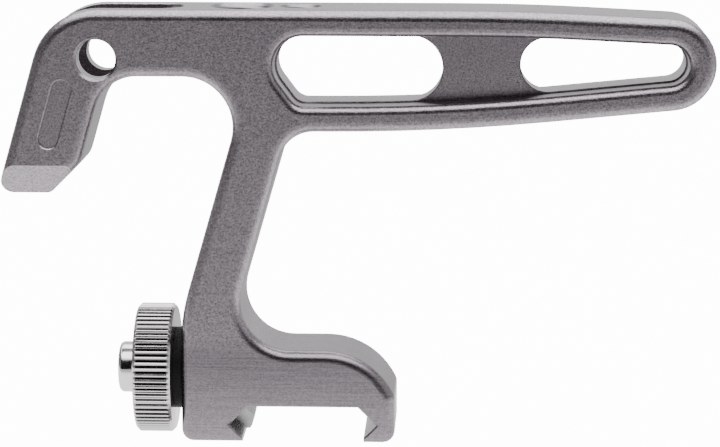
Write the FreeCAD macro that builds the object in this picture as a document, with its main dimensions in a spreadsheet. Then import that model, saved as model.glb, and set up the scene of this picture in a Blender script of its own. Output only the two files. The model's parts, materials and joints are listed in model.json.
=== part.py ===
import FreeCAD, Part
import Sketcher
import math
import os

# Camera top handle with a rail clamp, millimetres.
# X runs from the front hook (negative) to the grip's end, Y across the handle, Z up.
# The origin lies on the base's underside, in the middle of the rail channel and of the thickness.

document = FreeCAD.newDocument("top_handle")
vector = FreeCAD.Vector

SIZES = {
    # body outline, seen from the side
    "thickness": 15.4,
    "height": 68.2,
    "lean_degrees": 16.1,
    "outline_fillet": 1.65,
    "base_left": -19.15,
    "base_right": 14.46,
    "base_corner": 1.9,
    "base_top": 14.7,
    "base_crown_radius": 12.2,
    "base_crown_degrees": 63.8,
    "post_left": -24.89,
    "post_width": 8.35,
    "post_foot_radius": 30.0,
    "post_heel_radius": 7.8,
    # from here, depths are below the top and places are from the post's top corner, negative ahead
    "arch_depth": 10.4,
    "arch_width": 22.4,
    "arch_front_radius": 6.8,
    "arch_rear_radius": 7.8,
    "hook_width": 11.79,
    "hook_depth": 29.1,
    "hook_slant": 5.3,
    "hook_slant_corner": 4.0,
    "hook_toe_corner": 1.75,
    "hook_tip_corner": 1.8,
    "front_top_radius": 10.5,
    "bevel_height": 4.9,
    "bevel_depth": 4.0,
    # grip loop
    "grip_end": 68.8,
    "grip_top_bend": 39.2,
    "grip_top_fall": 0.05,
    "grip_top_bend_radius": 400.0,
    "grip_depth": 18.85,
    "grip_under_bend": 26.0,
    "grip_under_rise": 0.098,
    "grip_under_bend_radius": 350.0,
    "grip_throat_radius": 5.5,
    "top_bar": 4.0,
    "lower_bar": 4.0,
    "end_wall": 4.2,
    "window_left": 1.45,
    "window_left_depth": 10.96,
    "window_left_slope": 0.75,
    "window_left_radius": 4.6,
    "window_toe_radius": 2.5,
    "window_fillet": 1.3,
    "window_rim": 0.25,
    # web between the two windows
    "web_thickness": 5.6,
    "web_left": 26.855,
    "web_right": 38.905,
    "web_chamfer": 0.15,
    # fork slot, cross hole and the shallow recess on each side of the hook
    "fork_width": 8.4,
    "fork_end": -13.535,
    "fork_depth": 12.6,
    "fork_fillet": 0.35,
    "cross_hole_place": -26.515,
    "cross_hole_depth": 7.62,
    "cross_hole_radius": 3.05,
    "cross_hole_chamfer": 0.4,
    "recess_place": -33.045,
    "recess_centre_depth": 16.22,
    "recess_straight": 7.96,
    "recess_radius": 1.52,
    "recess_depth": 0.5,
    "recess_chamfer": 0.18,
    # threaded holes in the top, three eighths and one quarter inch
    "large_hole_place": -4.395,
    "large_hole_radius": 4.76,
    "large_hole_depth": 5.5,
    "large_hole_chamfer": 0.31,
    "small_hole_place": 4.705,
    "small_hole_radius": 3.175,
    "small_hole_chamfer": 0.12,
    # rail channel, measured from the origin
    "channel_apex": 11.6,
    "channel_apex_height": 2.95,
    "channel_ceiling": 5.88,
    "claw_reach": 2.05,
    "channel_edge": 0.25,
    # locking plunger, a flat bar square to the channel's left flank
    "plunger_middle": -4.525,
    "plunger_thickness": 2.36,
    "plunger_width": 5.8,
    "plunger_end": -14.2,
    "plunger_shoulder": 7.97,
    "plunger_nose": 7.09,
    "plunger_nose_drop": 1.34,
    "plunger_toe": 6.96,
    "plunger_toe_drop": 1.87,
    "plunger_heel": 7.4,
    "plunger_travel": 3.25,
    "slide_clearance": 0.05,
    "pocket_depth": 16.75,
    # cross pin that keeps the plunger in its pocket
    "pin_radius": 0.5,
    "pin_place": 14.1,
    "pin_reach": 4.2,
    "pin_clearance": 0.01,
    "pin_slot_clearance": 0.05,
    # clamp screw
    "screw_level": 10.4,
    "screw_radius": 3.0,
    "screw_clearance": 0.05,
    "screw_bore_end": 13.9,
    "screw_tip_gap": 0.02,
    "screw_tip_chamfer": 0.4,
    "cap_radius": 4.05,
    "cap_length": 3.0,
    "cap_fillet": 0.8,
    # clamp knob and friction washer
    "knob_radius": 10.25,
    "knob_width": 5.95,
    "knob_teeth": 70,
    "knob_tooth_depth": 0.42,
    "knob_crest_share": 0.2,
    "knob_crest_drop": 0.07,
    "knob_chamfer": 0.5,
    "knob_bore_clearance": 0.01,
    "washer_radius": 6.45,
    "washer_thickness": 1.42,
    "washer_gap": 0.03,
}

sheet = document.addObject("Spreadsheet::Sheet", "Sizes")
for row, (alias, number) in enumerate(SIZES.items(), start=1):
    sheet.set("A%d" % row, alias)
    sheet.set("B%d" % row, str(number))
    sheet.setAlias("B%d" % row, alias)
document.recompute()


def size(alias):
    """A driving size, read from the sheet."""
    return float(sheet.get(alias))


def origin_part(body, role):
    """One of the body's own origin planes or axes."""
    return next(part for part in body.Origin.OriginFeatures if part.Role == role)


def new_sketch(body, name, role, edges, offset=None):
    """A sketch on one of the body's planes, moved along its normal by the expression offset."""
    sketch = body.newObject("Sketcher::SketchObject", name)
    sketch.AttachmentSupport = [(origin_part(body, role), "")]
    sketch.MapMode = "FlatFace"
    if offset:
        sketch.setExpression("AttachmentOffset.Base.z", offset)
    for edge in edges:
        sketch.addGeometry(edge, False)
    return sketch


def circle_sketch(body, name, role, centre, radius, radius_size, offset=None):
    """A sketch of one circle; its radius is bound to the expression radius_size."""
    circle = Part.Circle(vector(centre[0], centre[1], 0), vector(0, 0, 1), radius)
    sketch = new_sketch(body, name, role, [circle], offset)
    index = sketch.addConstraint(Sketcher.Constraint("Radius", 0, radius))
    sketch.setExpression("Constraints[%d]" % index, radius_size)
    return sketch


def add(body, kind, name, plain=None, **bound):
    """A feature of the body; plain properties are set as they are, the others by expression."""
    result = body.newObject(kind, name)
    for prop, value in (plain or {}).items():
        setattr(result, prop, value)
    for prop, expression in bound.items():
        result.setExpression(prop, expression)
    body.Tip = result
    document.recompute()
    return result


def cut(body, kind, name, plain, **bound):
    """A feature that must take material away; returns the shape from before it."""
    before = body.Shape.copy()
    add(body, kind, name, plain, **bound)
    if body.Shape.Volume > before.Volume - 1e-3:
        raise RuntimeError("%s took nothing away" % name)
    return before


def cut_across(body, name, profile, length="Sizes.thickness + 2"):
    """A pocket both ways from the middle plane, through the whole thickness unless length is given."""
    return cut(body, "PartDesign::Pocket", name, {"Profile": profile, "Midplane": True}, Length=length)


def middle_of(edge):
    point = edge.valueAt((edge.FirstParameter + edge.LastParameter) / 2)
    return tuple(round(value, 3) for value in point)


def dress(body, kind, name, before, test, **bound):
    """A fillet or chamfer on the edges that before lacks and whose points all pass the test."""
    base = body.Tip
    known = {middle_of(edge) for edge in before.Edges} if before else set()
    names = []
    for index, edge in enumerate(base.Shape.Edges, start=1):
        if middle_of(edge) not in known and all(test(point) for point in edge.discretize(7)):
            names.append("Edge%d" % index)
    if not names:
        raise RuntimeError("%s has no edges" % name)
    return add(body, kind, name, {"Base": (base, names)}, **bound)


def rounded(corners):
    """A closed outline through corners (x, y, radius), straight between tangent arcs."""
    starts, ends, arcs = [], [], []
    count = len(corners)
    for index, (x, y, radius) in enumerate(corners):
        corner = vector(x, y, 0)
        before = (vector(*corners[index - 1][:2], 0) - corner).normalize()
        after = (vector(*corners[(index + 1) % count][:2], 0) - corner).normalize()
        half = before.getAngle(after) / 2
        bisector = (before + after).normalize() if radius else before
        centre = corner + bisector * (radius / math.sin(half))
        starts.append(corner + before * (radius / math.tan(half)))
        ends.append(corner + after * (radius / math.tan(half)))
        middle = centre - bisector * radius
        arcs.append(Part.Arc(starts[-1], middle, ends[-1]) if radius else None)
    edges = []
    for index in range(count):
        if arcs[index]:
            edges.append(arcs[index])
        following = starts[(index + 1) % count]
        if (following - ends[index]).Length > 1e-6:
            edges.append(Part.LineSegment(ends[index], following))
    return edges


def polygon(points):
    """A closed outline of straight lines."""
    return rounded([(x, y, 0) for x, y in points])


# places that several pieces share

half_thickness = size("thickness") / 2
slope = math.tan(math.radians(size("lean_degrees")))
diagonal_share = math.sqrt(0.5)


def leaning(place, level):
    """X of a leaning face at a level; place is its X at the underside's level."""
    return place + level * slope


# the head, everything above the post, keeps its place against the post's top corner
head_place = leaning(size("post_left"), size("height"))


def across(alias):
    """X of a place on the head."""
    return head_place + size(alias)


def below_top(alias):
    """Z of a depth below the top."""
    return size("height") - size(alias)


def diagonal(along, across):
    """X and Z of a point given along and across the plunger's 45 degree line."""
    return (along + across) * diagonal_share, (across - along) * diagonal_share


# share of a window's height that its rounded end takes, and the shortest straight left between arcs
END_SHARE = 0.99
SHORT_FLAT = 0.02

hook_inner = size("post_left") - size("arch_width")
hook_outer = hook_inner - size("hook_width")
plunger_low = size("plunger_middle") - size("plunger_thickness") / 2
plunger_high = size("plunger_middle") + size("plunger_thickness") / 2
pin_x, pin_z = diagonal(-size("pin_place"), size("plunger_middle"))
washer_right = size("base_left") - size("washer_gap")
washer_left = washer_right - size("washer_thickness")
knob_right = washer_left - size("washer_gap")
knob_left = knob_right - size("knob_width")
cap_left = knob_left - size("cap_length")
screw_tip = size("plunger_end") - size("screw_tip_gap")


def at_height(across, place):
    """Corner on a diagonal line where it crosses the upright plane at place."""
    return place, across / diagonal_share - place


def grip_lines(inset_top, inset_bottom):
    """Levels of the grip's top and underside lines, and the point where they would meet."""
    top = size("height") - inset_top
    under = below_top("grip_depth") + inset_bottom
    fall, rise = size("grip_top_fall"), size("grip_under_rise")
    top_bend, under_bend = across("grip_top_bend"), across("grip_under_bend")
    meet = (top - under + fall * top_bend + rise * under_bend) / (fall + rise)
    return top, under, (meet, top - fall * (meet - top_bend))


def end_radius(meet, reach):
    """Radius of the arc that touches both grip lines and reaches as far as reach."""
    fall, rise = math.atan(size("grip_top_fall")), math.atan(size("grip_under_rise"))
    share = math.sin((fall + rise) / 2) / math.cos((rise - fall) / 2)
    return (meet - reach) * share / (1 - share)


def body_outline():
    """Corners of the body from the side, without the channel and the windows."""
    top, under, meet = grip_lines(0, 0)
    post_right = size("post_left") + size("post_width")
    ceiling, bottom = below_top("arch_depth"), below_top("hook_depth")
    slant = size("hook_slant") + size("height") - head_place
    slant_level = (hook_inner + slant) / (1 - slope)
    turn = math.radians(size("base_crown_degrees"))
    crown = size("base_crown_radius") * math.tan(turn / 2)
    crown += size("base_corner") * math.tan(math.pi / 4 - turn / 2) + SHORT_FLAT
    return [
        (size("base_left"), 0, size("base_corner")),
        (size("base_left"), (size("base_left") - size("post_left")) / slope, size("post_foot_radius")),
        (leaning(size("post_left"), ceiling), ceiling, size("arch_rear_radius")),
        (leaning(hook_inner, ceiling), ceiling, size("arch_front_radius")),
        (slant_level - slant, slant_level, size("hook_slant_corner")),
        (bottom - slant, bottom, size("hook_toe_corner")),
        (leaning(hook_outer, bottom), bottom, size("hook_tip_corner")),
        (leaning(hook_outer, top), top, size("front_top_radius")),
        (across("grip_top_bend"), top, size("grip_top_bend_radius")),
        (meet[0], meet[1], end_radius(meet[0], across("grip_end"))),
        (across("grip_under_bend"), under, size("grip_under_bend_radius")),
        (leaning(post_right, under), under, size("grip_throat_radius")),
        (leaning(post_right, size("base_top")), size("base_top"), size("post_heel_radius")),
        (size("base_right") - crown * math.cos(turn), size("base_top"), size("base_crown_radius")),
        (size("base_right"), size("base_top") - crown * math.sin(turn), size("base_corner")),
        (size("base_right"), 0, size("base_corner")),
    ]


def window_start(inset):
    """Corners of the window's left end, upper and lower, drawn in by inset."""
    top, under, meet = grip_lines(size("top_bar") + inset, size("lower_bar") + inset)
    run = size("window_left_slope")
    place = across("window_left") + inset * math.hypot(1, run)
    level = below_top("window_left_depth")
    upper = (place - (top - level) * run, top, size("window_left_radius") - inset)
    lower = (place - (under - level) * run, under, size("window_toe_radius") - inset)
    return upper, lower


def window_outline():
    """Corners of the recess around both windows."""
    top, under, meet = grip_lines(size("top_bar"), size("lower_bar"))
    upper, lower = window_start(0)
    reach = across("grip_end") - size("end_wall")
    return [
        upper,
        (across("grip_top_bend"), top, size("grip_top_bend_radius")),
        (meet[0], meet[1], end_radius(meet[0], reach)),
        (across("grip_under_bend"), under, size("grip_under_bend_radius")),
        lower,
    ]


def left_window_outline():
    """Corners of the window next to the post; its right end is round."""
    inset = size("window_rim")
    top, under, meet = grip_lines(size("top_bar") + inset, size("lower_bar") + inset)
    upper, lower = window_start(inset)
    bend_radius, end = size("grip_under_bend_radius"), across("web_left")
    start = across("grip_under_bend") - bend_radius * size("grip_under_rise") / 2
    finish = end - (top - under) / 2
    turn = (finish - start) / bend_radius
    bend = (start + finish) / 2
    lifted = under + turn * (end - bend)
    radius = END_SHARE * (top - lifted) / (2 - turn)
    return [
        upper,
        (end, top, radius),
        (end, lifted, radius),
        (bend, under, bend_radius),
        lower,
    ]


def right_window_outline():
    """Corners of the window at the grip's end; its left end is round."""
    inset = size("window_rim")
    top, under, meet = grip_lines(size("top_bar") + inset, size("lower_bar") + inset)
    fall, rise = size("grip_top_fall"), size("grip_under_rise")
    bend_radius, end = size("grip_top_bend_radius"), across("web_right")
    finish = across("grip_top_bend") + bend_radius * fall / 2
    start = end + (top - under) / 2
    near_fall = fall - (finish - start) / bend_radius
    bend = (start + finish) / 2
    bend_level = top - fall * (bend - across("grip_top_bend"))
    upper = bend_level + near_fall * (bend - end)
    lower = under + rise * (end - across("grip_under_bend"))
    radius = END_SHARE * (upper - lower) / (2 + near_fall + rise)
    reach = across("grip_end") - size("end_wall") - inset
    return [
        (end, upper, radius),
        (bend, bend_level, bend_radius),
        (meet[0], meet[1], end_radius(meet[0], reach)),
        (end, lower, radius),
    ]


def channel_outline():
    """The rail channel, open below, with a claw at each side."""
    apex, apex_height = size("channel_apex"), size("channel_apex_height")
    ceiling = size("channel_ceiling")
    flat = apex - (ceiling - apex_height)
    claw = apex - size("claw_reach")
    claw_height = apex_height - size("claw_reach")
    below = -1
    return polygon([
        (-claw, below), (-claw, claw_height), (-apex, apex_height), (-flat, ceiling),
        (flat, ceiling), (apex, apex_height), (claw, claw_height), (claw, below),
    ])


def recess_outline():
    """A stadium along the hook's lean."""
    lean = math.radians(size("lean_degrees"))
    along = vector(math.sin(lean), math.cos(lean), 0)
    side = vector(math.cos(lean), -math.sin(lean), 0) * size("recess_radius")
    middle = vector(across("recess_place"), below_top("recess_centre_depth"), 0)
    upper = middle + along * (size("recess_straight") / 2)
    lower = middle - along * (size("recess_straight") / 2)
    cap = along * size("recess_radius")
    return [
        Part.Arc(upper - side, upper + cap, upper + side),
        Part.LineSegment(upper + side, lower + side),
        Part.Arc(lower + side, lower - cap, lower - side),
        Part.LineSegment(lower - side, upper - side),
    ]


def fork_outline():
    """The fork slot from above: open at the front, round at its rear end."""
    half = size("fork_width") / 2
    end = across("fork_end")
    turn = end - half
    front = leaning(hook_outer, below_top("hook_depth")) - 1
    return [
        Part.LineSegment(vector(front, -half, 0), vector(turn, -half, 0)),
        Part.Arc(vector(turn, -half, 0), vector(end, 0, 0), vector(turn, half, 0)),
        Part.LineSegment(vector(turn, half, 0), vector(front, half, 0)),
        Part.LineSegment(vector(front, half, 0), vector(front, -half, 0)),
    ]


def bevel_outline(side):
    """The wedge that the hook's tip loses on one side, seen along the handle."""
    bottom, height, depth = below_top("hook_depth"), size("bevel_height"), size("bevel_depth")
    beyond = depth / height
    return polygon([
        (side * (half_thickness - depth - beyond), bottom - 1),
        (side * (half_thickness + beyond), bottom - 1),
        (side * (half_thickness + beyond), bottom + height + 1),
    ])


def mouth_outline(side):
    """Half section of the cross hole's countersink, seen from above, from the hole's axis."""
    radius, chamfer = size("cross_hole_radius"), size("cross_hole_chamfer")
    return polygon([
        (radius - chamfer, side * (half_thickness - 2 * chamfer)),
        (radius + 2 * chamfer, side * (half_thickness + chamfer)),
        (radius - chamfer, side * (half_thickness + chamfer)),
    ])


def pocket_outline():
    """The plunger's pocket from the side, from inside the channel to its upright end."""
    gap = size("slide_clearance")
    mouth = (size("channel_apex") + size("channel_apex_height")) * diagonal_share - 1
    end = -size("pocket_depth")
    return polygon([
        diagonal(-mouth, plunger_low - gap), at_height(plunger_low - gap, end),
        at_height(plunger_high + gap, end), diagonal(-mouth, plunger_high + gap),
    ])


def slot_outline():
    """The slot in the plunger that the cross pin runs in."""
    radius = size("pin_radius") + size("pin_slot_clearance")
    middle = size("plunger_middle")
    upper, lower = -size("pin_place"), size("plunger_travel") - size("pin_place")

    def spot(along, across):
        return vector(*diagonal(along, across), 0)

    return [
        Part.Arc(spot(upper, middle - radius), spot(upper - radius, middle), spot(upper, middle + radius)),
        Part.LineSegment(spot(upper, middle + radius), spot(lower, middle + radius)),
        Part.Arc(spot(lower, middle + radius), spot(lower + radius, middle), spot(lower, middle - radius)),
        Part.LineSegment(spot(lower, middle - radius), spot(upper, middle - radius)),
    ]


def on_faces(point):
    """True on the handle's two flat sides."""
    return abs(abs(point.y) - half_thickness) < 1e-3


def on_top(point):
    return abs(point.z - size("height")) < 1e-3


def on_web(point):
    return abs(abs(point.y) - size("web_thickness") / 2) < 1e-3


def on_fork_rim(point):
    """True on the slot's edges with the top and with the front of the hook."""
    ahead = point.x < leaning(hook_outer, size("height")) + size("front_top_radius") - 2
    return abs(point.y) < size("fork_width") / 2 + 1e-3 and (on_top(point) or ahead)


def build_handle_body():
    body = document.addObject("PartDesign::Body", "handle_body")
    profile = new_sketch(body, "outline", "XZ_Plane", rounded(body_outline()))
    add(body, "PartDesign::Pad", "plate", {"Profile": profile, "Midplane": True}, Length="Sizes.thickness")
    dress(body, "PartDesign::Fillet", "outline_rounding", None, on_faces, Radius="Sizes.outline_fillet")

    # windows: a recess from each side down to the web, then two openings through it
    before = body.Shape.copy()
    for side, name in ((1, "front_window"), (-1, "rear_window")):
        profile = new_sketch(body, name + "_edge", "XZ_Plane", rounded(window_outline()),
                             "%d * Sizes.thickness / 2" % side)
        cut(body, "PartDesign::Pocket", name, {"Profile": profile, "Reversed": side < 0},
            Length="(Sizes.thickness - Sizes.web_thickness) / 2")
    dress(body, "PartDesign::Fillet", "window_rounding", before, on_faces, Radius="Sizes.window_fillet")
    before = body.Shape.copy()
    for name, corners in (("left_window", left_window_outline()), ("right_window", right_window_outline())):
        cut_across(body, name, new_sketch(body, name + "_edge", "XZ_Plane", rounded(corners)))
    dress(body, "PartDesign::Chamfer", "web_edges", before, on_web, Size="Sizes.web_chamfer")

    # front: fork slot, hook bevels, cross hole and shallow recesses
    profile = new_sketch(body, "fork_edge", "XY_Plane", fork_outline(), "Sizes.height + 1")
    before = cut(body, "PartDesign::Pocket", "fork", {"Profile": profile},
                 Length="1 + Sizes.fork_depth")
    dress(body, "PartDesign::Fillet", "fork_rim", before, on_fork_rim, Radius="Sizes.fork_fillet")
    for side, name in ((-1, "front_bevel"), (1, "rear_bevel")):
        profile = new_sketch(body, name + "_edge", "YZ_Plane", bevel_outline(side),
                             "Sizes.base_left - Sizes.base_corner")
        cut(body, "PartDesign::Pocket", name, {"Profile": profile}, Length="Sizes.height")
    hole_place, hole_level = across("cross_hole_place"), below_top("cross_hole_depth")
    hole = circle_sketch(body, "cross_hole_edge", "XZ_Plane", (hole_place, hole_level),
                         size("cross_hole_radius"), "Sizes.cross_hole_radius")
    cut_across(body, "cross_hole", hole)
    for side, name in ((-1, "front_mouth"), (1, "rear_mouth")):
        profile = new_sketch(body, name + "_section", "XY_Plane", mouth_outline(side))
        profile.AttachmentOffset.Base = vector(hole_place, 0, hole_level)
        cut(body, "PartDesign::Groove", name,
            {"Profile": profile, "ReferenceAxis": (profile, ["V_Axis"]), "Angle": 360})
    before = body.Shape.copy()
    for side, name in ((1, "front_recess"), (-1, "rear_recess")):
        profile = new_sketch(body, name + "_edge", "XZ_Plane", recess_outline(),
                             "%d * Sizes.thickness / 2" % side)
        cut(body, "PartDesign::Pocket", name, {"Profile": profile, "Reversed": side < 0},
            Length="Sizes.recess_depth")
    dress(body, "PartDesign::Chamfer", "recess_edges", before, on_faces, Size="Sizes.recess_chamfer")

    # top: two threaded holes, cut to their thread's outer size
    for name, depth in (("large_hole", "Sizes.large_hole_depth"), ("small_hole", "Sizes.top_bar + 3")):
        hole = circle_sketch(body, name + "_edge", "XY_Plane", (across(name + "_place"), 0),
                             size(name + "_radius"), "Sizes.%s_radius" % name, "Sizes.height")
        before = cut(body, "PartDesign::Pocket", name, {"Profile": hole}, Length=depth)
        dress(body, "PartDesign::Chamfer", name + "_mouth", before, on_top,
              Size="Sizes.%s_chamfer" % name)

    # base: rail channel, plunger pocket, screw bore and the pin's blind hole
    profile = new_sketch(body, "channel_edge", "XZ_Plane", channel_outline())
    before = cut_across(body, "channel", profile)
    dress(body, "PartDesign::Chamfer", "channel_edges", before, on_faces, Size="Sizes.channel_edge")
    profile = new_sketch(body, "plunger_pocket_edge", "XZ_Plane", pocket_outline())
    cut_across(body, "plunger_pocket", profile, "Sizes.plunger_width + 2 * Sizes.slide_clearance")
    bore = circle_sketch(body, "screw_bore_edge", "YZ_Plane", (0, size("screw_level")),
                         size("screw_radius") + size("screw_clearance"),
                         "Sizes.screw_radius + Sizes.screw_clearance", "Sizes.base_left - 1")
    cut(body, "PartDesign::Pocket", "screw_bore", {"Profile": bore, "Reversed": True},
        Length="1 - Sizes.base_left - Sizes.screw_bore_end")
    hole = circle_sketch(body, "pin_hole_edge", "XZ_Plane", (pin_x, pin_z),
                         size("pin_radius") + size("pin_clearance"),
                         "Sizes.pin_radius + Sizes.pin_clearance", "-Sizes.thickness / 2 - 1")
    cut(body, "PartDesign::Pocket", "pin_hole", {"Profile": hole, "Reversed": True},
        Length="1 + Sizes.thickness / 2 + Sizes.pin_reach")
    return body


def build_locking_plunger():
    """A flat bar with a slanted nose, an upright upper end and a slot for the cross pin."""
    body = document.addObject("PartDesign::Body", "locking_plunger")
    outline = polygon([
        at_height(plunger_low, size("plunger_end")),
        at_height(plunger_high, size("plunger_end")),
        diagonal(-size("plunger_shoulder"), plunger_high),
        diagonal(-size("plunger_nose"), plunger_high - size("plunger_nose_drop")),
        diagonal(-size("plunger_toe"), plunger_high - size("plunger_toe_drop")),
        diagonal(-size("plunger_heel"), plunger_low),
    ])
    profile = new_sketch(body, "bar_edge", "XZ_Plane", outline)
    add(body, "PartDesign::Pad", "bar", {"Profile": profile, "Midplane": True},
        Length="Sizes.plunger_width")
    cut_across(body, "pin_slot", new_sketch(body, "pin_slot_edge", "XZ_Plane", slot_outline()))
    return body


def build_retaining_pin():
    """A plain pin from the handle's rear side across the plunger's pocket."""
    pin = document.addObject("Part::Cylinder", "retaining_pin")
    pin.setExpression("Radius", "Sizes.pin_radius")
    pin.setExpression("Height", "Sizes.thickness / 2 + Sizes.pin_reach - 2 * Sizes.slide_clearance")
    start = size("slide_clearance") - size("pin_reach")
    pin.Placement = FreeCAD.Placement(vector(pin_x, start, pin_z), FreeCAD.Rotation(vector(1, 0, 0), -90))
    return pin


def build_clamp_screw():
    """Round cap, plain shank and a flat point that bears on the plunger's upper end."""
    body = document.addObject("PartDesign::Body", "clamp_screw")
    shank, point = size("screw_radius"), size("screw_radius") - size("screw_tip_chamfer")
    cap, rim = size("cap_radius"), size("cap_fillet")
    inner = rim * (1 - diagonal_share)
    corners = [
        vector(cap_left, 0, 0), vector(cap_left, cap - rim, 0), vector(cap_left + rim, cap, 0),
        vector(knob_left, cap, 0), vector(knob_left, shank, 0),
        vector(screw_tip - size("screw_tip_chamfer"), shank, 0), vector(screw_tip, point, 0),
        vector(screw_tip, 0, 0),
    ]
    edges = [
        Part.LineSegment(corners[0], corners[1]),
        Part.Arc(corners[1], vector(cap_left + inner, cap - inner, 0), corners[2]),
    ]
    edges += [Part.LineSegment(first, second) for first, second in zip(corners[2:], corners[3:])]
    edges.append(Part.LineSegment(corners[-1], corners[0]))
    profile = new_sketch(body, "half_section", "XZ_Plane", edges)
    add(body, "PartDesign::Revolution", "turned",
        {"Profile": profile, "ReferenceAxis": (origin_part(body, "X_Axis"), [""]), "Angle": 360})
    body.setExpression("Placement.Base.z", "Sizes.screw_level")
    return body


def tooth_points():
    """Corners of the knurled rim: each tooth has a crest, two shoulders and a root."""
    teeth = int(size("knob_teeth"))
    pitch = 2 * math.pi / teeth
    crest = size("knob_radius")
    shoulder = crest - size("knob_crest_drop")
    root = crest - size("knob_tooth_depth")
    share = size("knob_crest_share")
    points = []
    for index in range(teeth):
        for radius, part in ((shoulder, -share), (crest, 0), (shoulder, share), (root, 0.5)):
            angle = (index + part) * pitch
            points.append((radius * math.cos(angle), radius * math.sin(angle)))
    return points


def build_clamp_knob():
    """A straight-knurled disc on the screw, its rims chamfered."""
    body = document.addObject("PartDesign::Body", "clamp_knob")
    profile = new_sketch(body, "teeth", "YZ_Plane", polygon(tooth_points()),
                         "Sizes.base_left - 2 * Sizes.washer_gap - Sizes.washer_thickness - Sizes.knob_width")
    add(body, "PartDesign::Pad", "disc", {"Profile": profile}, Length="Sizes.knob_width")
    crest, chamfer = size("knob_radius"), size("knob_chamfer")
    for name, face, inward in (("left_rim", knob_left, 1), ("right_rim", knob_right, -1)):
        corner = polygon([
            (face - inward, crest - chamfer - 1), (face + inward * (chamfer + 1), crest + 1),
            (face - inward, crest + 1),
        ])
        profile = new_sketch(body, name + "_section", "XZ_Plane", corner)
        cut(body, "PartDesign::Groove", name,
            {"Profile": profile, "ReferenceAxis": (origin_part(body, "X_Axis"), [""]), "Angle": 360})
    bore = circle_sketch(body, "bore_edge", "YZ_Plane", (0, 0),
                         size("screw_radius") + size("knob_bore_clearance"),
                         "Sizes.screw_radius + Sizes.knob_bore_clearance")
    cut(body, "PartDesign::Pocket", "bore", {"Profile": bore, "Midplane": True},
        Length="2 * (Sizes.knob_width - Sizes.base_left + Sizes.washer_thickness + 1)")
    body.setExpression("Placement.Base.z", "Sizes.screw_level")
    return body


def build_friction_washer():
    """A flat ring between the knob and the handle."""
    washer = document.addObject("Part::Cut", "friction_washer")
    for role, name, radius in (("Base", "washer_disc", "Sizes.washer_radius"),
                               ("Tool", "washer_bore", "Sizes.screw_radius + Sizes.screw_clearance")):
        disc = document.addObject("Part::Cylinder", name)
        disc.setExpression("Radius", radius)
        disc.setExpression("Height", "Sizes.washer_thickness")
        setattr(washer, role, disc)
    washer.Placement = FreeCAD.Placement(vector(washer_left, 0, size("screw_level")),
                                         FreeCAD.Rotation(vector(0, 1, 0), 90))
    return washer


pieces = [
    build_handle_body(),
    build_locking_plunger(),
    build_retaining_pin(),
    build_clamp_screw(),
    build_clamp_knob(),
    build_friction_washer(),
]
document.recompute()

for item in document.Objects:
    if "Invalid" in item.State or "Error" in item.State:
        raise RuntimeError("%s failed: %s" % (item.Name, item.State))

os.makedirs("parts", exist_ok=True)
for piece in pieces:
    shape = piece.Shape
    if shape.isNull() or not shape.isValid() or len(shape.Solids) != 1:
        raise RuntimeError("%s isn't one valid solid" % piece.Label)
    shape.exportStep("parts/%s.step" % piece.Label)
    box = shape.BoundBox
    print("%-16s faces %3d volume %9.2f  X %.2f..%.2f Y %.2f..%.2f Z %.2f..%.2f" % (
        piece.Label, len(shape.Faces), shape.Volume,
        box.XMin, box.XMax, box.YMin, box.YMax, box.ZMin, box.ZMax))
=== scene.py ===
import bpy
import json
import math
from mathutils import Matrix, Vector


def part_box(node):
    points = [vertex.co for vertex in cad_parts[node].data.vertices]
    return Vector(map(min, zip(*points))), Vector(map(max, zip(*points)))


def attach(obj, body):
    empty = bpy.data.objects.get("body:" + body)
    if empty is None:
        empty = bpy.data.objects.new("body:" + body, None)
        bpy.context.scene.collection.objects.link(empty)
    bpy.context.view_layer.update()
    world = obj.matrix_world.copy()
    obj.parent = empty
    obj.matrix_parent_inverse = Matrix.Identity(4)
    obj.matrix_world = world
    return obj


MM = 0.001
INCH = 25.4 * MM

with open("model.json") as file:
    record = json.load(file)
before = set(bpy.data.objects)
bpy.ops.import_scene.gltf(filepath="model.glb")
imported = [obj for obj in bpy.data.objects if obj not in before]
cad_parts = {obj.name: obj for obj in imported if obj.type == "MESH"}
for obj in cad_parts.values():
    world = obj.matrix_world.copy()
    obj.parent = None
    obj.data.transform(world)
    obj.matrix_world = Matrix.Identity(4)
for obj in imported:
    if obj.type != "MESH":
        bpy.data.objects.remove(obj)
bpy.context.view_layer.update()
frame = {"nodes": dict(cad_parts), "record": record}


def hole_mount(name):
    """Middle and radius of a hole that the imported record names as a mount."""
    mount = [row for row in frame["record"]["mounts"] if row["name"] == name][0]
    return mount["pos_m"], mount["dims"]["r_mm"] * MM


# camera: its place and direction were solved from the handle's edges in the photograph

CAMERA_PLACE = (0.0257349, -0.411, 0.1079709)
CAMERA_FORWARD = (-0.0407178, 0.983322, -0.1772564)
LENS_MM, SENSOR_MM = 132.5, 36.0
CLIP_START, CLIP_END = 0.01, 20.0


def make_camera():
    """The photograph's view: a long lens, a little above the handle and looking slightly down."""
    data = bpy.data.cameras.new("photo_camera")
    data.lens, data.sensor_width = LENS_MM, SENSOR_MM
    data.clip_start, data.clip_end = CLIP_START, CLIP_END
    camera = bpy.data.objects.new("photo_camera", data)
    camera.location = CAMERA_PLACE
    camera.rotation_mode = "QUATERNION"
    camera.rotation_quaternion = Vector(CAMERA_FORWARD).to_track_quat("-Z", "Y")
    bpy.context.collection.objects.link(camera)
    bpy.context.scene.camera = camera


# node helpers

NOISE_MIDDLE, NOISE_LOW, NOISE_HIGH = 0.5, 0.3, 0.7
WHITE_TINT = (1.0, 1.0, 1.0)


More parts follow.
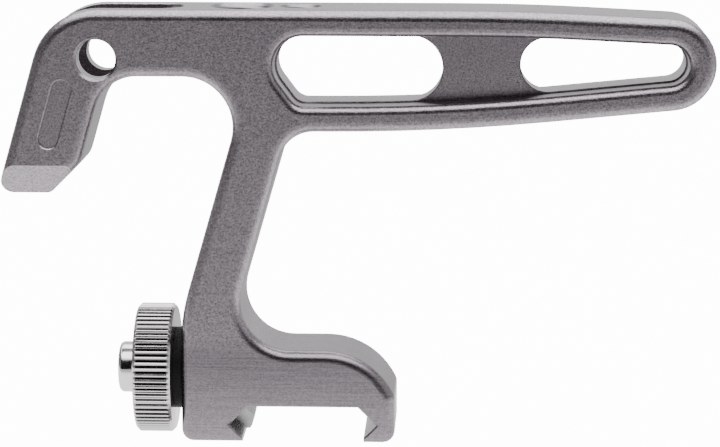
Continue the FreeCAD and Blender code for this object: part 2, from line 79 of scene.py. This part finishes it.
class Nodes:
    """Adds nodes to one tree and links them. A value is a number, a tuple or another node's socket."""

    def __init__(self, tree):
        self.tree = tree
        tree.nodes.clear()

    def add(self, kind, *by_place, **by_name):
        node = self.tree.nodes.new(kind)
        for key, value in [*enumerate(by_place), *by_name.items()]:
            self.put(node.inputs[key], value)
        return node

    def put(self, socket, value):
        if isinstance(value, bpy.types.NodeSocket):
            self.tree.links.new(value, socket)
        else:
            socket.default_value = value

    def coordinates(self, kind):
        return self.add("ShaderNodeTexCoord").outputs[kind]

    def split(self, vector):
        """The three parts of a vector."""
        node = self.add("ShaderNodeSeparateXYZ", Vector=vector)
        return node.outputs["X"], node.outputs["Y"], node.outputs["Z"]

    def math(self, operation, first, second=0.0, clamp=False):
        node = self.add("ShaderNodeMath", first, second)
        node.operation = operation
        node.use_clamp = clamp
        return node.outputs[0]

    def plus(self, first, second, clamp=False):
        return self.math("ADD", first, second, clamp)

    def minus(self, first, second):
        return self.math("SUBTRACT", first, second)

    def times(self, first, second):
        return self.math("MULTIPLY", first, second)

    def largest(self, first, *others):
        for other in others:
            first = self.math("MAXIMUM", first, other)
        return first

    def distance(self, first, first_middle, second, second_middle):
        """Distance from an axis, in the plane of two coordinates."""
        a = self.minus(first, first_middle)
        b = self.minus(second, second_middle)
        return self.math("SQRT", self.plus(self.times(a, a), self.times(b, b)))

    def span(self, value, low, high, out_low=0.0, out_high=1.0, smooth=True):
        """Maps value from low..high to out_low..out_high, clamped."""
        node = self.tree.nodes.new("ShaderNodeMapRange")
        node.interpolation_type = "SMOOTHSTEP" if smooth else "LINEAR"
        for name, given in (("Value", value), ("From Min", low), ("From Max", high),
                            ("To Min", out_low), ("To Max", out_high)):
            self.put(node.inputs[name], given)
        return node.outputs["Result"]

    def noise(self, place, cells, detail=2.0, rough=0.5):
        """Noise with so many cells per metre: one number, or one for each axis."""
        if isinstance(cells, tuple):
            place = self.add("ShaderNodeMapping", Vector=place, Scale=cells).outputs["Vector"]
            cells = 1.0
        node = self.add("ShaderNodeTexNoise", Vector=place, Scale=cells, Detail=detail, Roughness=rough)
        return node.outputs["Fac"]

    def swing(self, noise, gain):
        """How far a noise is from its middle, times gain."""
        return self.times(self.minus(noise, NOISE_MIDDLE), gain)

    def vary(self, noise, ends, low=NOISE_LOW):
        """A value that follows a noise between two ends."""
        return self.span(noise, low, NOISE_HIGH, *ends)

    def blend(self, factor, first, second):
        """Mix of two colours."""
        node = self.tree.nodes.new("ShaderNodeMix")
        node.data_type = "RGBA"
        self.put(node.inputs["Factor"], factor)
        for socket, value in zip([s for s in node.inputs if s.type == "RGBA"], (first, second)):
            self.put(socket, value)
        return [s for s in node.outputs if s.type == "RGBA"][0]

    def dimmed(self, colour, share):
        node = self.add("ShaderNodeVectorMath", colour, (share,) * 3)
        node.operation = "MULTIPLY"
        return node.outputs["Vector"]

    def bump(self, height, strength, distance, normal=None):
        node = self.add("ShaderNodeBump", Height=height, Strength=strength, Distance=distance)
        if normal is not None:
            self.put(node.inputs["Normal"], normal)
        return node.outputs["Normal"]


def grey(level, tint=WHITE_TINT):
    return (level * tint[0], level * tint[1], level * tint[2], 1.0)


def new_material(name):
    material = bpy.data.materials.new(name)
    material.use_nodes = True
    nodes = Nodes(material.node_tree)
    return material, nodes, nodes.coordinates("Object")


def finish_material(nodes, colour, roughness, metallic=1.0, normal=None):
    shader = nodes.add("ShaderNodeBsdfPrincipled")
    nodes.put(shader.inputs["Base Color"], colour)
    nodes.put(shader.inputs["Roughness"], roughness)
    nodes.put(shader.inputs["Metallic"], metallic)
    if normal is not None:
        nodes.put(shader.inputs["Normal"], normal)
    nodes.add("ShaderNodeOutputMaterial", Surface=shader.outputs[0])
    return shader


# materials: noise is in cells per metre, and in a tuple along x, y and z

BODY_TINT, BODY_DARK, BODY_LIGHT = (1.0, 0.9, 0.985), 0.14, 0.44
GRAIN, GRAIN_GAIN = 3600.0, 2.2
COARSE_GRAIN, COARSE_GAIN = 1700.0, 0.3
CLOUD, CLOUD_GAIN = 55.0, 0.12
MILLING, MILLING_GAIN = (60.0, 900.0, 4200.0), 1.1
BORING = (30.0, 3300.0, 30.0)
# BASE_PAINTED_SHADE is painted shade: the factor that darkens the base's colour below BASE_TOP
BASE_TOP, BASE_BLEND, BASE_PAINTED_SHADE = 14.7 * MM, 3.0 * MM, 0.72
BLAST_LOST_ON_BASE = 0.45
HOLE_INSIDE, HOLE_OUTSIDE = 1.02, 1.06   # shares of the hole's radius
BODY_ROUGH, MILLING_ROUGH, HOLE_SMOOTHER = (0.27, 0.32), 0.15, 0.1


def body_material():
    """Dark anodised aluminium: fine blasted grain, milling lines on the base, rings in the hole; the
    base is darkened with painted shade.
    """
    material, nodes, place = new_material("blasted_aluminium")
    across, _, height = nodes.split(place)
    grain = nodes.noise(place, GRAIN, rough=0.75)
    coarse = nodes.noise(place, COARSE_GRAIN, rough=0.6)
    cloud = nodes.noise(place, CLOUD, detail=3.0)
    lines = nodes.noise(place, MILLING, detail=3.0, rough=0.7)
    rings = nodes.noise(place, BORING, rough=0.6)

    on_base = nodes.span(height, BASE_TOP - BASE_BLEND / 2, BASE_TOP + BASE_BLEND, 1.0, 0.0)
    (hole_x, _, hole_z), hole_radius = hole_mount("cross_hole")
    from_hole = nodes.distance(across, hole_x, height, hole_z)
    in_hole = nodes.span(from_hole, hole_radius * HOLE_INSIDE, hole_radius * HOLE_OUTSIDE, 1.0, 0.0)
    machined = nodes.largest(nodes.times(on_base, BLAST_LOST_ON_BASE), in_hole)
    blasted = nodes.minus(1.0, machined)

    speck = nodes.plus(nodes.swing(grain, GRAIN_GAIN), nodes.swing(coarse, COARSE_GAIN))
    speck = nodes.times(speck, blasted)
    streak = nodes.times(nodes.swing(lines, MILLING_GAIN), on_base)
    shade = nodes.plus(nodes.plus(speck, streak), nodes.swing(cloud, CLOUD_GAIN))
    colour = nodes.blend(nodes.plus(shade, NOISE_MIDDLE, clamp=True),
                         grey(BODY_DARK, BODY_TINT), grey(BODY_LIGHT, BODY_TINT))
    # painted shade: the base is darkened to stand in for the dimmer light that falls on it
    colour = nodes.blend(on_base, colour, nodes.dimmed(colour, BASE_PAINTED_SHADE))

    rough = nodes.plus(nodes.vary(cloud, BODY_ROUGH), nodes.times(streak, MILLING_ROUGH))
    rough = nodes.minus(rough, nodes.times(in_hole, HOLE_SMOOTHER))
    normal = nodes.bump(grain, strength=nodes.times(blasted, 0.7), distance=0.05 * MM)
    normal = nodes.bump(lines, strength=nodes.times(on_base, 0.35), distance=0.02 * MM, normal=normal)
    normal = nodes.bump(rings, strength=nodes.times(in_hole, 0.8), distance=0.08 * MM, normal=normal)
    finish_material(nodes, colour, rough, normal=normal)
    return material


CUT_TURNS, CUT_DARK, CUT_LIGHT, CUT_ROUGH = (400.0, 400.0, 5000.0), 0.22, 0.36, (0.28, 0.4)


def thread_material():
    """Cut thread in the same aluminium, smoother than the blasted skin."""
    material, nodes, place = new_material("cut_thread")
    turns = nodes.noise(place, CUT_TURNS)
    colour = nodes.blend(turns, grey(CUT_DARK, BODY_TINT), grey(CUT_LIGHT, BODY_TINT))
    finish_material(nodes, colour, nodes.vary(turns, CUT_ROUGH))
    return material


SMUDGE_LOW = 0.35   # a smudge starts at a higher noise, so that most of the metal stays clean
# KNOB_GAP_PAINTED_SHADE is painted shade: near black at the bottom of the knurl's gaps, where shade
# falls; GAP_DEPTH, GAP_FADE, KNOB_RIM and RIM_FADE bound it
KNOB_TINT, KNOB_DARK, KNOB_LIGHT, KNOB_GAP_PAINTED_SHADE = (1.0, 0.965, 0.97), 0.5, 0.64, 0.02
KNOB_ROOT, KNOB_CREST = 9.95 * MM, 10.18 * MM
GAP_DEPTH, GAP_FADE = 0.3 * MM, 0.1 * MM    # the black ends this far below the knurl's root
KNOB_RIM, RIM_FADE = 0.4 * MM, 0.24 * MM    # and this far from each end face
KNOB_MARKS, KNOB_SMUDGE = (5200.0, 260.0, 260.0), 240.0
KNOB_ROUGH, MARK_ROUGH, GAP_ROUGH = (0.1, 0.19), (0.0, 0.05), 0.3


def knob_material():
    """Nickel: bright on the knurl's crests and on both rims, with black painted shade at the bottom of
    its gaps.
    """
    material, nodes, place = new_material("knob_nickel")
    low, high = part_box("clamp_knob")
    left, right = low[0] + KNOB_RIM, high[0] - KNOB_RIM
    across, ahead, height = nodes.split(place)
    radius = nodes.distance(ahead, 0.0, height, (low[2] + high[2]) / 2)
    # painted shade: this mask blackens the bottom of the knurl's gaps, away from both rims
    painted_gap_shade = nodes.span(radius, KNOB_ROOT, KNOB_CREST, 1.0, 0.0)
    limits = (
        nodes.span(radius, KNOB_ROOT - GAP_DEPTH - GAP_FADE, KNOB_ROOT - GAP_DEPTH),
        nodes.span(across, left, left + RIM_FADE),
        nodes.span(across, right - RIM_FADE, right, 1.0, 0.0),
    )
    for limit in limits:
        painted_gap_shade = nodes.times(painted_gap_shade, limit)
    marks = nodes.noise(place, KNOB_MARKS)
    smudge = nodes.noise(place, KNOB_SMUDGE, detail=3.0, rough=0.6)
    bright = nodes.blend(smudge, grey(KNOB_DARK, KNOB_TINT), grey(KNOB_LIGHT, KNOB_TINT))
    # painted shade: black mixed into the knurl's gaps
    colour = nodes.blend(painted_gap_shade, bright, grey(KNOB_GAP_PAINTED_SHADE))
    rough = nodes.plus(nodes.vary(smudge, KNOB_ROUGH, SMUDGE_LOW), nodes.vary(marks, MARK_ROUGH))
    rough = nodes.plus(rough, nodes.times(painted_gap_shade, GAP_ROUGH))
    normal = nodes.bump(marks, strength=0.12, distance=0.01 * MM)
    finish_material(nodes, colour, rough, normal=normal)
    return material


CAP_DARK, CAP_LIGHT, CAP_ROUGH = 0.6, 0.75, (0.07, 0.15)
CAP_TURNING, TURNING_ROUGH = (6500.0, 300.0, 300.0), (0.0, 0.04)
CAP_SMUDGE = 420.0


def screw_material():
    """Polished cap and shank, slightly worn."""
    material, nodes, place = new_material("screw_nickel")
    smudge = nodes.noise(place, CAP_SMUDGE, detail=3.0, rough=0.6)
    turning = nodes.noise(place, CAP_TURNING)
    colour = nodes.blend(smudge, grey(CAP_DARK, KNOB_TINT), grey(CAP_LIGHT, KNOB_TINT))
    rough = nodes.plus(nodes.vary(smudge, CAP_ROUGH, SMUDGE_LOW), nodes.vary(turning, TURNING_ROUGH))
    normal = nodes.bump(turning, strength=0.08, distance=0.01 * MM)
    finish_material(nodes, colour, rough, normal=normal)
    return material


STEEL_TINT, STEEL_DARK, STEEL_LIGHT = (1.0, 0.98, 0.98), 0.26, 0.42
GRINDING, STEEL_ROUGH = (3000.0, 120.0, 3000.0), (0.25, 0.38)


def steel_material():
    """Ground steel of the locking plunger and the retaining pin."""
    material, nodes, place = new_material("ground_steel")
    ground = nodes.noise(place, GRINDING, detail=3.0, rough=0.6)
    colour = nodes.blend(ground, grey(STEEL_DARK, STEEL_TINT), grey(STEEL_LIGHT, STEEL_TINT))
    normal = nodes.bump(ground, strength=0.2, distance=0.02 * MM)
    finish_material(nodes, colour, nodes.vary(ground, STEEL_ROUGH), normal=normal)
    return material


WASHER_DARK, WASHER_LIGHT, WASHER_GRAIN = 0.003, 0.009, 2600.0
WASHER_ROUGH, WASHER_SPECULAR = (0.5, 0.65), 0.15


def washer_material():
    """Matt black washer with a fine moulded grain."""
    material, nodes, place = new_material("washer_polymer")
    grain = nodes.noise(place, WASHER_GRAIN)
    colour = nodes.blend(grain, grey(WASHER_DARK), grey(WASHER_LIGHT))
    normal = nodes.bump(grain, strength=0.25, distance=0.03 * MM)
    shader = finish_material(nodes, colour, nodes.vary(grain, WASHER_ROUGH), metallic=0.0, normal=normal)
    shader.inputs["Specular IOR Level"].default_value = WASHER_SPECULAR
    return material


def dress_nodes():
    """Gives each CAD node its material."""
    steel = steel_material()
    looks = {
        "handle_body": body_material(),
        "retaining_pin": steel,
        "locking_plunger": steel,
        "clamp_knob": knob_material(),
        "clamp_screw": screw_material(),
        "friction_washer": washer_material(),
    }
    for name, material in looks.items():
        node = frame["nodes"][name]
        node.data.materials.clear()
        node.data.materials.append(material)


# threads of the two top holes

THREAD_SIDES, ROWS_PER_TURN = 72, 10
ROOT_SHARE, FLANK_SHARE = 0.12, 0.7   # of half a pitch: the flat root, then the flank
LEAD_IN = 0.7                         # turns over which the first crest grows
ROOT_CLEARANCE = 0.01 * MM            # the root stands in from the hole's wall by this
LINER_OVERLAP = 0.03 * MM             # the outer face lies in the metal, out of sight


def thread_ring(middle_x, height, radius_at):
    """Points around a vertical axis, at a radius that depends on the share of a turn."""
    points = []
    for index in range(THREAD_SIDES):
        angle = 2 * math.pi * index / THREAD_SIDES
        radius = radius_at(index / THREAD_SIDES)
        points.append((middle_x + radius * math.cos(angle), radius * math.sin(angle), height))
    return points


def thread_faces(rows):
    """Quads of the helical inner face, of both ends and of the outer wall."""
    last, upper = rows * THREAD_SIDES, (rows + 1) * THREAD_SIDES
    lower = upper + THREAD_SIDES
    faces = []
    for index in range(THREAD_SIDES):
        after = (index + 1) % THREAD_SIDES
        for row in range(rows):
            a, b = row * THREAD_SIDES + index, row * THREAD_SIDES + after
            faces.append((a, a + THREAD_SIDES, b + THREAD_SIDES, b))
        faces.append((upper + index, index, after, upper + after))
        faces.append((last + index, lower + index, lower + after, last + after))
        faces.append((lower + index, upper + index, upper + after, lower + after))
    return faces


def thread_liner(name, mount, top, length, pitch, depth, material):
    """A helical internal thread: its crests stand in from the hole's wall."""
    (middle_x, _, _), major = hole_mount(mount)
    rows = int(length / pitch * ROWS_PER_TURN)

    def face_radius(down, turn):
        wave = 1 - abs(2 * ((down / pitch + turn) % 1.0) - 1)
        rise = min(max((wave - ROOT_SHARE) / FLANK_SHARE, 0.0), 1.0)
        lead = min(1.0, down / (pitch * LEAD_IN))
        return major - ROOT_CLEARANCE - depth * rise * lead

    vertices = []
    for row in range(rows + 1):
        down = row * (length / rows)
        vertices += thread_ring(middle_x, top - down, lambda turn: face_radius(down, turn))
    for end in (0.0, length):
        vertices += thread_ring(middle_x, top - end, lambda turn: major + LINER_OVERLAP)

    mesh = bpy.data.meshes.new(name)
    mesh.from_pydata(vertices, [], thread_faces(rows))
    mesh.validate()
    mesh.materials.append(material)
    for polygon in mesh.polygons:
        polygon.use_smooth = True
    piece = bpy.data.objects.new(name, mesh)
    bpy.context.collection.objects.link(piece)
    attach(piece, "handle")


def make_threads():
    """The coarse three eighths inch and quarter inch threads."""
    cut = thread_material()
    thread_liner("large_thread", "top_large_thread", top=67.9 * MM, length=5.1 * MM,
                 pitch=INCH / 16, depth=0.8 * MM, material=cut)
    thread_liner("small_thread", "top_small_thread", top=68.05 * MM, length=3.9 * MM,
                 pitch=INCH / 20, depth=0.65 * MM, material=cut)


# floor and light: the camera sees white, while light and reflections come from lit areas

WHITE_LEVEL = 14.0
FLOOR_RADIUS, FLOOR_CORNERS, FLOOR_HEIGHT, FLOOR_GREY = 0.9, 96, -0.2 * MM, 0.1
STRIP_INNER, STRIP_OUTER, FAR = 0.02, 0.065, 0.45
STRIP_LEVEL, NEAR_LEVEL, FAR_LEVEL = 2.0, 0.65, 0.72

# each light of the world fades in over a range of the direction's part
OVERHEAD, OVERHEAD_LEVEL = (0.62, 0.84), 4.4
BEHIND, BEHIND_LEVEL = (0.35, 0.75), 1.15
RIGHT, RIGHT_LEVEL = (0.55, 0.85), 0.85
LEFT, LEFT_LEVEL = (-0.85, -0.55), 0.25
ROOM_LEVEL = 0.01


def seen_or_lit(nodes, seen, lit):
    """One emission for the camera, another for light and reflections."""
    seen_by_camera = nodes.add("ShaderNodeLightPath").outputs["Is Camera Ray"]
    return nodes.plus(nodes.times(seen_by_camera, nodes.minus(seen, lit)), lit)


def make_floor():
    """A pale table top that lights the handle most from a strip below it."""
    mesh = bpy.data.meshes.new("floor")
    edge = []
    for corner in range(FLOOR_CORNERS):
        angle = 2 * math.pi * corner / FLOOR_CORNERS
        edge.append((FLOOR_RADIUS * math.cos(angle), FLOOR_RADIUS * math.sin(angle), FLOOR_HEIGHT))
    mesh.from_pydata(edge, [], [tuple(range(FLOOR_CORNERS))])
    material, nodes, place = new_material("pale_floor")
    _, ahead, _ = nodes.split(place)
    from_handle = nodes.math("ABSOLUTE", ahead)
    strip = nodes.span(from_handle, STRIP_INNER, STRIP_OUTER, STRIP_LEVEL - NEAR_LEVEL, 0.0)
    rest = nodes.span(from_handle, STRIP_OUTER, FAR, NEAR_LEVEL, FAR_LEVEL, smooth=False)
    diffuse = nodes.add("ShaderNodeBsdfDiffuse", Color=grey(FLOOR_GREY))
    glow = nodes.add("ShaderNodeEmission", Color=grey(1.0),
                     Strength=seen_or_lit(nodes, WHITE_LEVEL, nodes.plus(strip, rest)))
    both = nodes.add("ShaderNodeAddShader", diffuse.outputs[0], glow.outputs[0])
    nodes.add("ShaderNodeOutputMaterial", Surface=both.outputs[0])
    mesh.materials.append(material)
    floor = bpy.data.objects.new("floor", mesh)
    bpy.context.collection.objects.link(floor)


def make_world():
    """A white room for the camera; it lights from overhead, from behind and from both sides."""
    world = bpy.data.worlds.new("studio")
    bpy.context.scene.world = world
    world.use_nodes = True
    nodes = Nodes(world.node_tree)
    across, ahead, up = nodes.split(nodes.coordinates("Generated"))
    lit = nodes.largest(
        nodes.span(up, *OVERHEAD, 0.0, OVERHEAD_LEVEL),
        nodes.span(ahead, *BEHIND, 0.0, BEHIND_LEVEL),
        nodes.span(across, *RIGHT, 0.0, RIGHT_LEVEL),
        nodes.span(across, *LEFT, LEFT_LEVEL, 0.0),
    )
    strength = seen_or_lit(nodes, WHITE_LEVEL, nodes.plus(lit, ROOM_LEVEL))
    light = nodes.add("ShaderNodeBackground", Color=grey(1.0), Strength=strength)
    nodes.add("ShaderNodeOutputWorld", Surface=light.outputs[0])


make_camera()
make_world()
make_floor()
dress_nodes()
make_threads()
